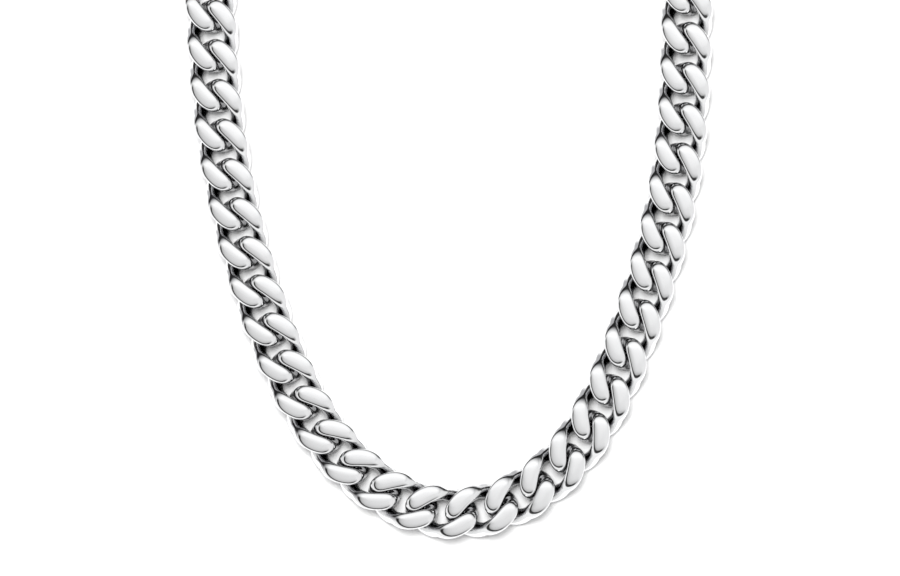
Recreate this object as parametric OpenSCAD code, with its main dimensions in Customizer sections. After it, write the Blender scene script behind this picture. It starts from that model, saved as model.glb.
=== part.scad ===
// Curb chain necklace, closed by a plain box clasp and lying flat as one loop.
// A link is a ring of round wire. Seen from above it is an oval, and seen from
// the side a figure of eight, so each half rides over the end of its neighbour.
// Its two upper and two lower bars are pressed wider and then ground flat.

/* [Wire] */
// Thickness of the round wire
wire_d = 3.2; // [2.6:0.1:4]
// Room between a bar's underside and the middle plane of the chain
cross_room = 0.4; // [0.3:0.05:0.8]

/* [Link] */
// Play between the wire that passes through a link and the link's inner wall
link_play = 1.3; // [1.2:0.1:1.8]
// Daylight between the tips of two links that meet inside a third
tip_gap = 2; // [1:0.1:3]
// Thickness of the chain between its two ground faces
chain_t = 5.4; // [4.8:0.1:6]
// How far each end of a link is twisted out of the link's plane, in degrees
twist = 58; // [50:1:60]
// How far pressing spreads a bar towards the middle of the chain
spread_in = 0.3; // [0:0.1:0.5]
// How far pressing spreads a bar towards the outside of the chain
spread_out = 0.6; // [0:0.1:1]

/* [Loop] */
// Links along the front of the necklace, each a piece of its own
front_links = 32; // [28:2:40]
// Links in the plain stretch behind, half of them on each side of the clasp
back_links = 18; // [16:2:24]

/* [Clasp] */
// Length of the clasp's body
clasp_l = 16; // [10:0.5:24]
// Room between the clasp's body and the tips of the links beside it
clasp_room = 2; // [1.8:0.1:3]
// How far the clasp's body stands out beyond each side of the chain
clasp_lip = 0.3; // [0.2:0.1:1]
// Chamfer along the edges of the clasp's body
clasp_chamfer = 0.8; // [0.3:0.1:1.5]

/* [Hidden] */
// Corners of the wire's section, and sections along one link
wire_sides = 6;
link_steps = 16;
// Half angle of a section's top edge on round wire, and how much pressing adds
round_edge = 30;
pressed_edge = 20;

// Sizes of a link that follow from the wire and the play around it
inner_w = wire_d + 2*link_play;
inner_l = tip_gap + 2*wire_d + 2*link_play;
chain_w = inner_w + 2*wire_d;
link_l = inner_l + 2*wire_d;
link_pitch = (link_l + tip_gap)/2;
wire_r = wire_d/2;
half_l = (link_l - wire_d)/2;
half_w = (chain_w - wire_d)/2;
bar_lift = wire_r + cross_room;

// The loop, from the first front link down one side and up the other
links = front_links + back_links;
links_before_clasp = front_links + back_links/2;
loop_span = clasp_l + 2*clasp_room - tip_gap;
chain_l = (links + 1)*link_pitch + loop_span;

// Corner points of the smooth curve that the loop follows, in millimetres
route = [
    [-58, 108], [-57, 69], [-55, 36], [-47, 1], [-31, -39], [-1, -59], [31, -45],
    [47, -4], [56, 29], [57, 68], [58, 108], [38, 137], [0, 143], [-38, 137]
];
route_steps = 24;

link_names = [for (i = [1:front_links]) str("link_", i < 10 ? "0" : "", i)];

function unit(v) = v/norm(v);
function wrap(s) = s - chain_l*floor(s/chain_l);

// A point of the smooth closed curve, past corner i by the share t of one step
function curve_point(i, t) =
    let (n = len(route))
    ((1 - t)^3*route[i]
     + (3*t^3 - 6*t^2 + 4)*route[(i + 1)%n]
     + (-3*t^3 + 3*t^2 + 3*t + 1)*route[(i + 2)%n]
     + t^3*route[(i + 3)%n])/6;

raw_curve = [
    for (i = [0:len(route)]) for (j = [0:(i < len(route) ? route_steps - 1 : 0)])
        curve_point(i%len(route), j/route_steps)
];
raw_run = [
    for (i = 0, s = 0; i < len(raw_curve);
         s = s + (i + 1 < len(raw_curve) ? norm(raw_curve[i + 1] - raw_curve[i]) : 0), i = i + 1)
        s
];

// The curve grows or shrinks until the chain just fills it
growth = chain_l/raw_run[len(raw_run) - 1];
curve_x = [for (i = [0:len(raw_curve) - 1]) [growth*raw_run[i], growth*raw_curve[i].x]];
curve_y = [for (i = [0:len(raw_curve) - 1]) [growth*raw_run[i], growth*raw_curve[i].y]];

function along(s) = [lookup(wrap(s), curve_x), lookup(wrap(s), curve_y)];
function turned_to(from, to) = atan2(to.y - from.y, to.x - from.x);

// Place and heading of a link, as [x, y, angle], from its distance along the loop
function link_place(s) =
    concat(along(s), [turned_to(along(s - link_pitch/2), along(s + link_pitch/2))]);

// The first front link sits at the start of the curve. The clasp ends in two
// half links, loop_span apart. It lies straight between the two points where
// they cross the links beside them, half a pitch from each of those links.
function link_distance(i) =
    (i - 1)*link_pitch + (i > links_before_clasp ? loop_span + link_pitch : 0);
places = [for (i = [1:links]) link_place(link_distance(i))];
clasp_from = along(link_distance(links_before_clasp) + link_pitch/2);
clasp_to = along(link_distance(links_before_clasp + 1) - link_pitch/2);
clasp_place = concat((clasp_from + clasp_to)/2, [turned_to(clasp_from, clasp_to)]);

// Middle line of a link's wire at the angle u around the oval, and its heading. The
// two ends of the oval are twisted opposite ways. It is highest near an eighth turn.
twist_peak = sin(45)*sin(twist*cos(45));
function wire_centre(u) =
    let (leaning = twist*cos(u))
    [
        half_l*cos(u),
        half_w*sin(u)*cos(leaning),
        -bar_lift*sin(u)*sin(leaning)/twist_peak
    ];
function wire_heading(u) = unit(wire_centre(u + 1) - wire_centre(u - 1));

// One section of the wire. The spread is full on a bar's ground face, fades
// towards its other side, and is nothing where the wire crosses the middle plane.
function wire_section(u) =
    let (
        c = wire_centre(u),
        ahead = wire_heading(u),
        up = unit([0, 0, 1] - ahead*ahead.z),
        out = cross(ahead, up),
        rise = abs(sin(2*u)),
        face = c.z < 0 ? -1 : 1,
        edge = round_edge + pressed_edge*rise,
        high = face > 0 ? edge : round_edge,
        low = face < 0 ? edge : round_edge,
        corners = [high, 90, 180 - low, 180 + low, 270, 360 - high]
    )
    [for (q = corners)
        let (
            spread = (sin(q) > 0 ? spread_out : spread_in)*rise*(1 + face*cos(q))/2,
            p = c + wire_r*cos(q)*up + (wire_r + spread)*sin(q)*out
        )
        [p.x, p.y, max(-chain_t/2, min(chain_t/2, p.z))]];

// Triangles between two neighbouring sections, given the numbers of their first corners
function band(a, b) = [
    for (k = [0:wire_sides - 1]) let (m = (k + 1)%wire_sides)
        each [[a + k, b + m, a + m], [a + k, b + k, b + m]]
];

link_points = [for (i = [0:link_steps - 1]) each wire_section(90 + 360*i/link_steps)];
link_faces = [for (i = [0:link_steps - 1]) each band(i*wire_sides, ((i + 1)%link_steps)*wire_sides)];

// The half link on the clasp, round its tip and one step past each side of it
half_steps = link_steps/2 + 2;
half_points = [for (i = [0:half_steps]) each wire_section(90 + 360*(i - 1)/link_steps)];
half_faces = concat(
    [[for (k = [0:wire_sides - 1]) k]],
    [for (i = [0:half_steps - 1]) each band(i*wire_sides, (i + 1)*wire_sides)],
    [[for (k = [wire_sides - 1:-1:0]) half_steps*wire_sides + k]]
);

// Where a point of a link or of the clasp lies in plan, once that piece is in its place
function placed(p, at) = [
    at.x + p.x*cos(at.z) - p.y*sin(at.z),
    at.y + p.x*sin(at.z) + p.y*cos(at.z)
];

// Outline of the whole loop in plan, whose middle becomes the origin
clasp_w = chain_w + 2*clasp_lip;
clasp_corners = [
    for (sx = [-1, 1]) for (sy = [-1, 1])
        each [
            placed([sx*clasp_l/2, sy*(clasp_w/2 - clasp_chamfer)], clasp_place),
            placed([sx*(clasp_l/2 - clasp_chamfer), sy*clasp_w/2], clasp_place)
        ]
];
outline = concat(clasp_corners, [for (at = places) for (p = link_points) placed(p, at)]);
outline_x = [for (p = outline) p.x];
outline_y = [for (p = outline) p.y];
middle = [max(outline_x) + min(outline_x), max(outline_y) + min(outline_y)]/2;

module at_place(at) {
    translate([at.x - middle.x, at.y - middle.y, chain_t/2]) rotate(at.z) children();
}

module link() {
    polyhedron(link_points, link_faces, convexity = 4);
}

module front_link(i) {
    color("silver") at_place(places[i - 1]) link();
}

module back_chain() {
    color("lightsteelblue")
        for (i = [front_links + 1:links]) at_place(places[i - 1]) link();
}

// A slab with all its edges chamfered by c
module chamfered_slab(l, w, t, c) {
    hull() {
        cube([l, w - 2*c, t - 2*c], center = true);
        cube([l - 2*c, w, t - 2*c], center = true);
        cube([l - 2*c, w - 2*c, t], center = true);
    }
}

module half_link() {
    polyhedron(half_points, half_faces, convexity = 4);
}

module clasp() {
    color("gainsboro") at_place(clasp_place) {
        chamfered_slab(clasp_l, clasp_w, chain_t, clasp_chamfer);
        for (a = [0, 180]) rotate(a) translate([-loop_span/2, 0, 0]) half_link();
    }
}

for (i = [1:front_links]) front_link(i);
back_chain();
clasp();
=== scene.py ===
"""Curb chain necklace, dressed in smooth polished links and laid on a white table."""
import math

import bmesh
import bpy
import numpy as np
from mathutils import Matrix, Vector


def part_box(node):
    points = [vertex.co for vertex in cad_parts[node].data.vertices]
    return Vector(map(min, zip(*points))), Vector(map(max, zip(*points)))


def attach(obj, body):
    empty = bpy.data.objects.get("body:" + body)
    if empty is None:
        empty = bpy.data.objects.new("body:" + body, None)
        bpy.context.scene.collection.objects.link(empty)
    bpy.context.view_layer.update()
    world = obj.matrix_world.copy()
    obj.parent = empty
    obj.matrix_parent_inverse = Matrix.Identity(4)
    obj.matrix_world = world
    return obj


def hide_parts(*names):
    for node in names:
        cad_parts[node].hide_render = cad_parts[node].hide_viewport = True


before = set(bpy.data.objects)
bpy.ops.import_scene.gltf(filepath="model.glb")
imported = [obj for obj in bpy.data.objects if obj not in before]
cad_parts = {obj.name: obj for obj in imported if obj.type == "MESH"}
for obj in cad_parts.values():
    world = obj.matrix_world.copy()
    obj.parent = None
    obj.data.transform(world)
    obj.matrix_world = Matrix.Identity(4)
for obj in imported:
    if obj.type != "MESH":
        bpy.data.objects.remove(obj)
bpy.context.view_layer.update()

# One link, in metres and radians, on the same lines as in the part's source
WIRE = 0.0032
HALF_LENGTH = 0.0071
HALF_WIDTH = 0.0045
TWIST = math.radians(58)
BAR_LIFT = 0.0020
THICKNESS = 0.0054
# How much longer a bar stays high than the twist alone would keep it
LEVELLED = 0.3
# How softly a ground face runs over into the round wire
SOFTNESS = 0.0005
# How far pressing spreads a face outwards, above and below, and inwards
SPREAD_OUT = 0.0011
SPREAD_UNDER = 0.0008
SPREAD_IN = 0.0003
# How far a ground face sinks from its middle line to its sides
DOME = 0.00013
# Sections along a link, and corners of each section
SECTIONS = 96
CORNERS = 56
# Points of a mesh that are closer than this become one
SAME_POINT = 1e-6

# The clasp's slab, with the radius of its edges and the steps round them
CLASP_LENGTH = 0.016
CLASP_WIDTH = 0.0128
CLASP_EDGE = 0.0009
CLASP_EDGE_STEPS = 6
# Distance between the centres of the two half links on the clasp, and how far each
# of them runs on inside the slab
CLASP_SPAN = 0.018
CLASP_SOCKET = 0.0015

# Two tones of steel, and the scale of the haze that blends them
STEEL_LOW = (0.87, 0.875, 0.885, 1)
STEEL_HIGH = (0.92, 0.922, 0.926, 1)
HAZE_SCALE = 260
HAZE_DETAIL = 3
# Hairlines from polishing: how fine they are each way, their slant and their depth
HAIR_SCALES = (300, 9000, 3000)
HAIR_SLANT = math.radians(35)
HAIR_DETAIL = 2
HAIR_SHARE = 0.35
HAIR_DEPTH = 0.00002
HAIR_STRENGTH = 0.04
# The wear over which the steel goes from smooth to rough, and both roughnesses
WEAR = (0.45, 0.95)
ROUGHNESS = (0.05, 0.11)
# Painted shade in the crannies: how near a neighbour counts, how many rays look for it,
# how open a point is where the painted shade starts to lift and where it is gone, and
# its grey
CRANNY_REACH = 0.0034
CRANNY_RAYS = 6
CRANNY_OPEN = (0.46, 0.92)
CRANNY_SHADE_GREY = (0.18, 0.18, 0.185, 1)
# Painted shade on the slopes between high and low bars: the heights where they end, as
# shares of a bar's, the way they face, how nearly they face it, and the grey of that
# shade
SLOPE_HEIGHTS = (0.35, 0.75)
SLOPE_WAY = (-0.25, 0.55, 0.8)
SLOPE_FACING = (0.92, 0.66)
SLOPE_SHADE_GREY = (0.3, 0.3, 0.31, 1)

# Greys of the light tent in front and behind, from the table's height to overhead
TENT_FRONT = [(0.0, 0.95), (0.30, 1.0), (0.57, 1.0), (0.62, 0.04),
              (0.80, 0.04), (0.85, 0.48), (0.93, 0.62), (1.0, 0.78)]
TENT_BACK = [(0.0, 0.07), (0.2, 0.06), (0.42, 0.07), (0.54, 0.7),
             (0.70, 0.95), (0.90, 1.15), (1.0, 1.1)]
# Its grey at the front right, the way from there to the front left, how far the back
# falls short at the sides, and how softly the parts run into each other
TENT_RIGHT = (0.89, 0.89, 0.89, 1)
TENT_LEFTWARD = (-0.6, -0.5)
TENT_SIDES = -0.3
TENT_LEFT_EDGE = (-0.15, 0.15)
TENT_BACK_EDGE = (-0.05, 0.2)

# The lamp over the table
LAMP_SIZE = 0.9
LAMP_POWER = 19
LAMP_PLACE = Vector((-0.15, 0.35, 1.3))

TABLE_HALF = 3
TABLE_WHITE = (0.93, 0.93, 0.93, 1)
TABLE_ROUGHNESS = 0.9
TABLE_SHINE = 0.2

# The picture shows this width of the table, round this point of the chain. The lens
# stands high above it, a little to the front and to the right.
PICTURE_WIDTH = 0.2163
PICTURE_MIDDLE = Vector((0.00047, -0.04414, 0.0027))
LENS_HEIGHT = 1.2
LENS_TILT = math.radians(4)
LENS_SIDE = math.radians(-60)
# Width of the camera's sensor in millimetres, and how far it sees in metres
SENSOR_WIDTH = 36
SIGHT = 100


def feed(tree, socket, value):
    """Gives a socket another node's output, or a plain value."""
    if isinstance(value, bpy.types.NodeSocket):
        tree.links.new(value, socket)
    else:
        socket.default_value = value


def calc(tree, operation, *values):
    """A Math node on numbers and outputs."""
    node = tree.nodes.new("ShaderNodeMath")
    node.operation = operation
    for socket, value in zip(node.inputs, values):
        feed(tree, socket, value)
    return node.outputs[0]


def vector_calc(tree, operation, *values):
    """A Vector Math node; a dot product comes back as a number."""
    node = tree.nodes.new("ShaderNodeVectorMath")
    node.operation = operation
    for socket, value in zip(node.inputs, values):
        feed(tree, socket, value)
    return node.outputs["Value" if operation == "DOT_PRODUCT" else "Vector"]


def scaled(tree, vector, factor):
    """A vector made longer or shorter."""
    node = tree.nodes.new("ShaderNodeVectorMath")
    node.operation = "SCALE"
    feed(tree, node.inputs[0], vector)
    feed(tree, node.inputs["Scale"], factor)
    return node.outputs["Vector"]


def joined(tree, x, y, z):
    """A vector from three numbers."""
    node = tree.nodes.new("ShaderNodeCombineXYZ")
    for socket, value in zip(node.inputs, (x, y, z)):
        feed(tree, socket, value)
    return node.outputs[0]


def split(tree, vector):
    """The three numbers of a vector."""
    node = tree.nodes.new("ShaderNodeSeparateXYZ")
    feed(tree, node.inputs[0], vector)
    return node.outputs


def ranged(tree, value, across, to=(0, 1), kind="LINEAR"):
    """Runs through one range while a value runs across another."""
    node = tree.nodes.new("ShaderNodeMapRange")
    node.interpolation_type = kind
    feed(tree, node.inputs["Value"], value)
    node.inputs["From Min"].default_value = across[0]
    node.inputs["From Max"].default_value = across[1]
    node.inputs["To Min"].default_value = to[0]
    node.inputs["To Max"].default_value = to[1]
    return node.outputs[0]


def blended(tree, factor, low, high):
    """A colour between two others."""
    node = tree.nodes.new("ShaderNodeMix")
    node.data_type = "RGBA"
    feed(tree, node.inputs["Factor"], factor)
    feed(tree, node.inputs["A"], low)
    feed(tree, node.inputs["B"], high)
    return node.outputs["Result"]


def noise(tree, place, scale, detail):
    """A noise over a place."""
    node = tree.nodes.new("ShaderNodeTexNoise")
    feed(tree, node.inputs["Vector"], place)
    node.inputs["Scale"].default_value = scale
    node.inputs["Detail"].default_value = detail
    return node.outputs[0]


def chained(tree, kind, geometry, **inputs):
    """A geometry node fed with the geometry, and its own geometry output."""
    node = tree.nodes.new(kind)
    tree.links.new(geometry, node.inputs[0])
    for name, value in inputs.items():
        feed(tree, node.inputs[name], value)
    return node.outputs[0]


def link_tree(steel):
    """Geometry Nodes that set a twisted, pressed and ground curb link on every point.

    The wire follows an oval ring whose two ends are twisted out of its plane in
    opposite directions. It is pressed wider where it lies high or low. The tree comes
    back with the values of its inputs, by their identifiers.
    """
    tree = bpy.data.node_groups.new("Curb links", "GeometryNodeTree")
    face = tree.interface
    face.new_socket("Geometry", in_out="INPUT", socket_type="NodeSocketGeometry")
    lengths = (("Wire", WIRE), ("Half length", HALF_LENGTH), ("Half width", HALF_WIDTH),
               ("Twist", TWIST), ("Bar lift", BAR_LIFT), ("Thickness", THICKNESS),
               ("Levelled", LEVELLED), ("Softness", SOFTNESS),
               ("Spread out", SPREAD_OUT), ("Spread under", SPREAD_UNDER),
               ("Spread in", SPREAD_IN), ("Dome", DOME))
    counts = (("Sections", SECTIONS), ("Corners", CORNERS))
    sizes = {}
    for kind, values in (("NodeSocketFloat", lengths), ("NodeSocketInt", counts)):
        for name, value in values:
            socket = face.new_socket(name, in_out="INPUT", socket_type=kind)
            sizes[socket.identifier] = value
    face.new_socket("Geometry", in_out="OUTPUT", socket_type="NodeSocketGeometry")
    given = tree.nodes.new("NodeGroupInput").outputs

    def times(*values):
        product = values[0]
        for value in values[1:]:
            product = calc(tree, "MULTIPLY", product, value)
        return product

    def minus(one, other):
        return calc(tree, "SUBTRACT", one, other)

    def plus(one, other):
        return calc(tree, "ADD", one, other)

    # A flat grid: its x runs round the link, its y round the wire
    grid = tree.nodes.new("GeometryNodeMeshGrid")
    feed(tree, grid.inputs["Size X"], 1.0)
    feed(tree, grid.inputs["Size Y"], 1.0)
    feed(tree, grid.inputs["Vertices X"], plus(given["Sections"], 1))
    feed(tree, grid.inputs["Vertices Y"], plus(given["Corners"], 1))
    place = split(tree, tree.nodes.new("GeometryNodeInputPosition").outputs[0])
    around = calc(tree, "MULTIPLY_ADD", place["X"], 2*math.pi, math.pi/2)
    turn = times(place["Y"], -2*math.pi)

    # Middle line of the wire: the oval leans over more and more towards its two ends.
    # It is highest near an eighth turn.
    cos_u, sin_u = calc(tree, "COSINE", around), calc(tree, "SINE", around)
    twist = given["Twist"]
    leaning = times(twist, cos_u)
    cos_l, sin_l = calc(tree, "COSINE", leaning), calc(tree, "SINE", leaning)
    level = given["Levelled"]
    eighth = math.sqrt(0.5)
    peak = times(eighth, calc(tree, "SINE", times(twist, eighth)))
    height = calc(tree, "DIVIDE", times(sin_u, sin_l), peak)
    squared = times(height, height)
    raised = times(height, minus(plus(level, 1), times(level, squared)))
    centre = joined(tree, times(given["Half length"], cos_u),
                    times(given["Half width"], sin_u, cos_l),
                    times(given["Bar lift"], raised, -1))

    # Its heading, from the slopes of the same three lines
    swing = times(sin_u, sin_u, twist)
    slope_y = plus(times(cos_u, cos_l), times(swing, sin_l))
    slope_z = minus(times(cos_u, sin_l), times(swing, cos_l))
    slope_z = times(calc(tree, "DIVIDE", slope_z, peak),
                    minus(plus(level, 1), times(level, squared, 3)))
    ahead = vector_calc(tree, "NORMALIZE", joined(
        tree, times(given["Half length"], sin_u, -1),
        times(given["Half width"], slope_y), times(given["Bar lift"], slope_z, -1)))
    rise = split(tree, ahead)["Z"]
    up = vector_calc(tree, "SUBTRACT", (0, 0, 1), scaled(tree, ahead, rise))
    up = vector_calc(tree, "NORMALIZE", up)
    side = vector_calc(tree, "CROSS_PRODUCT", ahead, up)

    # Pressing spreads the wire on the side of its ground face, more outwards than in
    pressing = calc(tree, "ABSOLUTE", raised)
    facing = times(calc(tree, "SIGN", raised), -1)
    cos_t, sin_t = calc(tree, "COSINE", turn), calc(tree, "SINE", turn)
    towards = calc(tree, "MULTIPLY_ADD", times(cos_t, facing), 0.5, 0.5)
    towards = calc(tree, "SQRT", calc(tree, "MAXIMUM", towards, 0))
    inside = calc(tree, "LESS_THAN", times(split(tree, side)["Y"], sin_u, sin_t), 0)
    below = calc(tree, "LESS_THAN", facing, 0)
    outwards = plus(given["Spread out"],
                    times(below, minus(given["Spread under"], given["Spread out"])))
    spread = plus(outwards, times(inside, minus(given["Spread in"], outwards)))
    radius = times(given["Wire"], 0.5)
    across = times(plus(radius, times(spread, pressing, towards)), sin_t)
    point = vector_calc(tree, "ADD", scaled(tree, up, times(radius, cos_t)),
                        scaled(tree, side, across))
    point = vector_calc(tree, "ADD", centre, point)

    # Grinding: the height runs softly into half the thickness, in a low dome
    x, y, z = split(tree, point)[:]
    high = calc(tree, "ABSOLUTE", z)
    soft = given["Softness"]
    half = times(given["Thickness"], 0.5)
    over = calc(tree, "DIVIDE", minus(high, half), soft)
    eased = calc(tree, "LOGARITHM", plus(calc(tree, "EXPONENT", over), 1), math.e)
    kept = minus(high, times(eased, soft))
    share = times(sin_t, calc(tree, "DIVIDE", kept, half))
    kept = minus(kept, times(given["Dome"], share, share))
    ground = joined(tree, x, y, times(calc(tree, "SIGN", z), kept))

    link = chained(tree, "GeometryNodeStoreNamedAttribute", grid.outputs["Mesh"],
                   Name="raised", Value=pressing)
    link = chained(tree, "GeometryNodeSetPosition", link, Position=ground)
    link = chained(tree, "GeometryNodeMergeByDistance", link, Distance=SAME_POINT)
    link = chained(tree, "GeometryNodeSetShadeSmooth", link)
    headings = tree.nodes.new("GeometryNodeInputNamedAttribute")
    headings.data_type = "FLOAT"
    headings.inputs["Name"].default_value = "heading"
    links = chained(tree, "GeometryNodeInstanceOnPoints", given["Geometry"],
                    Instance=link, Rotation=joined(tree, 0, 0, headings.outputs[0]))
    links = chained(tree, "GeometryNodeRealizeInstances", links)
    links = chained(tree, "GeometryNodeSetMaterial", links, Material=steel)
    tree.links.new(links, tree.nodes.new("NodeGroupOutput").inputs[0])
    return tree, sizes


def places_in(node):
    """Centre and heading of each closed solid in a CAD node, as (Vector, angle)."""
    mesh = bmesh.new()
    mesh.from_mesh(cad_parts[node].data)
    bmesh.ops.remove_doubles(mesh, verts=mesh.verts, dist=SAME_POINT)
    places, seen = [], set()
    for start in mesh.verts:
        if start in seen:
            continue
        solid, fresh = [], [start]
        seen.add(start)
        while fresh:
            vert = fresh.pop()
            solid.append(vert.co[:])
            for edge in vert.link_edges:
                other = edge.other_vert(vert)
                if other not in seen:
                    seen.add(other)
                    fresh.append(other)
        points = np.array(solid)
        centre = points.mean(axis=0)
        flat = (points - centre)[:, :2]
        longest = np.linalg.eigh(flat.T @ flat)[1][:, 1]
        places.append((Vector(centre), math.atan2(longest[1], longest[0])))
    mesh.free()
    return places


def links_at(name, places, tree, sizes):
    """One plain mesh object with a smooth link at each place."""
    points = bpy.data.meshes.new(name)
    points.from_pydata([centre for centre, _ in places], [], [])
    headings = points.attributes.new("heading", "FLOAT", "POINT")
    headings.data.foreach_set("value", [heading for _, heading in places])
    piece = bpy.data.objects.new(name, points)
    bpy.context.scene.collection.objects.link(piece)
    maker = piece.modifiers.new("Links", "NODES")
    maker.node_group = tree
    for identifier, value in sizes.items():
        maker[identifier] = value
    settled = piece.evaluated_get(bpy.context.evaluated_depsgraph_get())
    mesh = bpy.data.meshes.new_from_object(settled)
    piece.modifiers.remove(maker)
    piece.data = mesh
    bpy.data.meshes.remove(points)
    mesh.name = name
    return piece


def clasp_body(name, centre, heading, steel):
    """The clasp's slab with rounded edges."""
    low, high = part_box("clasp")
    size = Vector((CLASP_LENGTH, CLASP_WIDTH, high.z - low.z))
    body = bmesh.new()
    bmesh.ops.create_cube(body, size=1.0)
    for vert in body.verts:
        vert.co = vert.co*size
    bmesh.ops.bevel(body, geom=body.edges[:], offset=CLASP_EDGE,
                    segments=CLASP_EDGE_STEPS, profile=0.5, affect="EDGES",
                    clamp_overlap=True)
    for face in body.faces:
        face.smooth = True
    body.transform(Matrix.Translation(centre) @ Matrix.Rotation(heading, 4, "Z"))
    mesh = bpy.data.meshes.new(name)
    body.to_mesh(mesh)
    body.free()
    mesh.materials.append(steel)
    piece = bpy.data.objects.new(name, mesh)
    bpy.context.scene.collection.objects.link(piece)
    return piece


def half_links(name, centre, heading, tree, sizes):
    """The half links at the clasp's ends, cut off inside its slab and closed there."""
    turned = Matrix.Rotation(heading, 3, "Z")
    reach = turned @ Vector((CLASP_SPAN/2, 0, 0))
    ends = [(centre - reach, heading), (centre + reach, heading)]
    piece = links_at(name, ends, tree, sizes)
    mesh = bmesh.new()
    mesh.from_mesh(piece.data)
    for way in (-1, 1):
        cut_at = centre + turned @ Vector((way*(CLASP_LENGTH/2 - CLASP_SOCKET), 0, 0))
        near = [v for v in mesh.verts if (v.co - centre).dot(reach)*way > 0]
        faces = {f for v in near for f in v.link_faces}
        edges = {e for v in near for e in v.link_edges}
        cut = bmesh.ops.bisect_plane(mesh, geom=near + list(edges) + list(faces),
                                     plane_co=cut_at, plane_no=reach*-way,
                                     clear_outer=True)
        rims = [e for e in cut["geom_cut"] if isinstance(e, bmesh.types.BMEdge)]
        bmesh.ops.holes_fill(mesh, edges=rims)
    mesh.to_mesh(piece.data)
    mesh.free()
    return piece


def polished_steel():
    """Bright polished steel, with faint hairlines and haze, and painted shade in its
    crannies and on its back-facing slopes.
    """
    steel = bpy.data.materials.new("Polished steel with painted shade")
    steel.use_nodes = True
    tree = steel.node_tree
    shader = tree.nodes["Principled BSDF"]
    shader.inputs["Metallic"].default_value = 1.0
    place = tree.nodes.new("ShaderNodeTexCoord").outputs["Object"]

    haze = noise(tree, place, HAZE_SCALE, HAZE_DETAIL)
    stretch = tree.nodes.new("ShaderNodeMapping")
    feed(tree, stretch.inputs["Vector"], place)
    stretch.inputs["Rotation"].default_value = (0, 0, HAIR_SLANT)
    stretch.inputs["Scale"].default_value = HAIR_SCALES
    hairs = noise(tree, stretch.outputs[0], 1, HAIR_DETAIL)
    wear = calc(tree, "MULTIPLY_ADD", hairs, HAIR_SHARE, haze)
    feed(tree, shader.inputs["Roughness"], ranged(tree, wear, WEAR, ROUGHNESS))
    bright = blended(tree, haze, STEEL_LOW, STEEL_HIGH)

    # Painted shade: the colour is darkened in the crannies where links cross, where
    # near neighbours close a point in
    crannies = tree.nodes.new("ShaderNodeAmbientOcclusion")
    crannies.samples = CRANNY_RAYS
    crannies.inputs["Distance"].default_value = CRANNY_REACH
    openness = ranged(tree, crannies.outputs["AO"], CRANNY_OPEN, kind="SMOOTHSTEP")
    cranny_shaded = blended(tree, openness, CRANNY_SHADE_GREY, bright)

    # Painted shade: where the wire slopes between its high and low bars, and faces the
    # back, its colour is darkened
    raised = tree.nodes.new("ShaderNodeAttribute")
    raised.attribute_name = "raised"
    bar = ranged(tree, raised.outputs["Fac"], SLOPE_HEIGHTS, kind="SMOOTHSTEP")
    normal = tree.nodes.new("ShaderNodeNewGeometry").outputs["Normal"]
    turned_away = ranged(tree, vector_calc(tree, "DOT_PRODUCT", normal, SLOPE_WAY),
                         SLOPE_FACING, kind="SMOOTHSTEP")
    slope_unshaded = calc(tree, "MAXIMUM", bar, turned_away)
    feed(tree, shader.inputs["Base Color"], blended(tree, slope_unshaded, SLOPE_SHADE_GREY, cranny_shaded))

    bump = tree.nodes.new("ShaderNodeBump")
    bump.inputs["Strength"].default_value = HAIR_STRENGTH
    bump.inputs["Distance"].default_value = HAIR_DEPTH
    feed(tree, bump.inputs["Height"], hairs)
    feed(tree, shader.inputs["Normal"], bump.outputs[0])
    return steel


def white_table():
    """Matt white for the table."""
    table = bpy.data.materials.new("White table")
    table.use_nodes = True
    shader = table.node_tree.nodes["Principled BSDF"]
    shader.inputs["Base Color"].default_value = TABLE_WHITE
    shader.inputs["Roughness"].default_value = TABLE_ROUGHNESS
    shader.inputs["Specular IOR Level"].default_value = TABLE_SHINE
    return table


def grey_ramp(tree, stops, value):
    """A ramp of greys over a value, from (position, grey) stops."""
    ramp = tree.nodes.new("ShaderNodeValToRGB")
    marks = ramp.color_ramp.elements
    while len(marks) > 1:
        marks.remove(marks[0])
    for i, (position, grey) in enumerate(stops):
        mark = marks[0] if i == 0 else marks.new(position)
        mark.position = position
        mark.color = (grey, grey, grey, 1)
    feed(tree, ramp.inputs[0], value)
    return ramp.outputs[0]


def light_tent():
    """White cloth all round: dark low at the back, where it is bright higher up, and
    with a dark gap at the front left, halfway up, that draws the edges of the links."""
    world = bpy.data.worlds.new("Light tent")
    bpy.context.scene.world = world
    world.use_nodes = True
    tree = world.node_tree
    sky = tree.nodes["Background"]
    way = split(tree, tree.nodes.new("ShaderNodeTexCoord").outputs["Generated"])
    front = grey_ramp(tree, TENT_FRONT, way["Z"])
    back = grey_ramp(tree, TENT_BACK, way["Z"])

    leftward = calc(tree, "MULTIPLY", way["X"], TENT_LEFTWARD[0])
    leftward = calc(tree, "MULTIPLY_ADD", way["Y"], TENT_LEFTWARD[1], leftward)
    front = blended(tree, ranged(tree, leftward, TENT_LEFT_EDGE), TENT_RIGHT, front)
    aside = calc(tree, "ABSOLUTE", way["X"])
    backward = calc(tree, "MULTIPLY_ADD", aside, TENT_SIDES, way["Y"])
    cloth = blended(tree, ranged(tree, backward, TENT_BACK_EDGE), front, back)
    feed(tree, sky.inputs["Color"], cloth)


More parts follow.
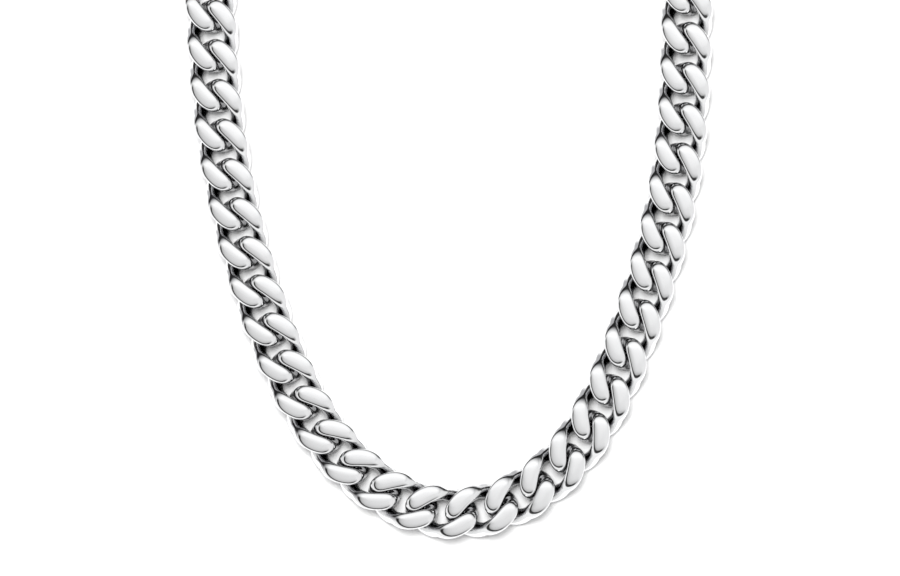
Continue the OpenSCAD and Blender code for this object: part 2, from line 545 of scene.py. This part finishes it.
def table_lamp():
    """Soft light for the table, which the steel doesn't mirror."""
    light = bpy.data.lights.new("Table light", "AREA")
    light.shape = "DISK"
    light.size = LAMP_SIZE
    light.energy = LAMP_POWER
    lamp = bpy.data.objects.new("Table light", light)
    lamp.location = LAMP_PLACE
    lamp.rotation_euler = LAMP_PLACE.to_track_quat("Z", "Y").to_euler()
    lamp.visible_glossy = False
    bpy.context.scene.collection.objects.link(lamp)


def lay_table():
    """The plain table under the chain."""
    mesh = bpy.data.meshes.new("Table")
    corners = [(x*TABLE_HALF, y*TABLE_HALF, 0)
               for x, y in ((-1, -1), (1, -1), (1, 1), (-1, 1))]
    mesh.from_pydata(corners, [], [(0, 1, 2, 3)])
    mesh.materials.append(white_table())
    table = bpy.data.objects.new("Table", mesh)
    bpy.context.scene.collection.objects.link(table)


def camera():
    """The camera that takes the photo's view."""
    lens = bpy.data.cameras.new("Camera")
    lens.sensor_width = SENSOR_WIDTH
    lens.lens = SENSOR_WIDTH*LENS_HEIGHT/PICTURE_WIDTH
    lens.clip_end = SIGHT
    eye = bpy.data.objects.new("Camera", lens)
    back = Vector((math.sin(LENS_TILT)*math.cos(LENS_SIDE),
                   math.sin(LENS_TILT)*math.sin(LENS_SIDE), math.cos(LENS_TILT)))
    right = Vector((0, 1, 0)).cross(back).normalized()
    over = back.cross(right)
    turn = Matrix((right, over, back)).transposed().to_4x4()
    eye.matrix_world = Matrix.Translation(PICTURE_MIDDLE + back*LENS_HEIGHT) @ turn
    bpy.context.scene.collection.objects.link(eye)
    bpy.context.scene.camera = eye


def make_necklace():
    """All links and the clasp, each in the place of its solid."""
    steel = polished_steel()
    tree, sizes = link_tree(steel)
    front_links = [name for name in sorted(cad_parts) if name.startswith("link_")]
    for node in front_links + ["back_chain"]:
        piece = links_at("smooth_" + node, places_in(node), tree, sizes)
        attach(piece, "root")
        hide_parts(node)

    centre, heading = places_in("clasp")[0]
    body = clasp_body("smooth_clasp", centre, heading, steel)
    ends = half_links("clasp_ends", centre, heading, tree, sizes)
    for piece in (body, ends):
        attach(piece, "root")
        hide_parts("clasp")


make_necklace()
lay_table()
light_tent()
table_lamp()
camera()
bpy.context.scene.view_settings.view_transform = "Standard"
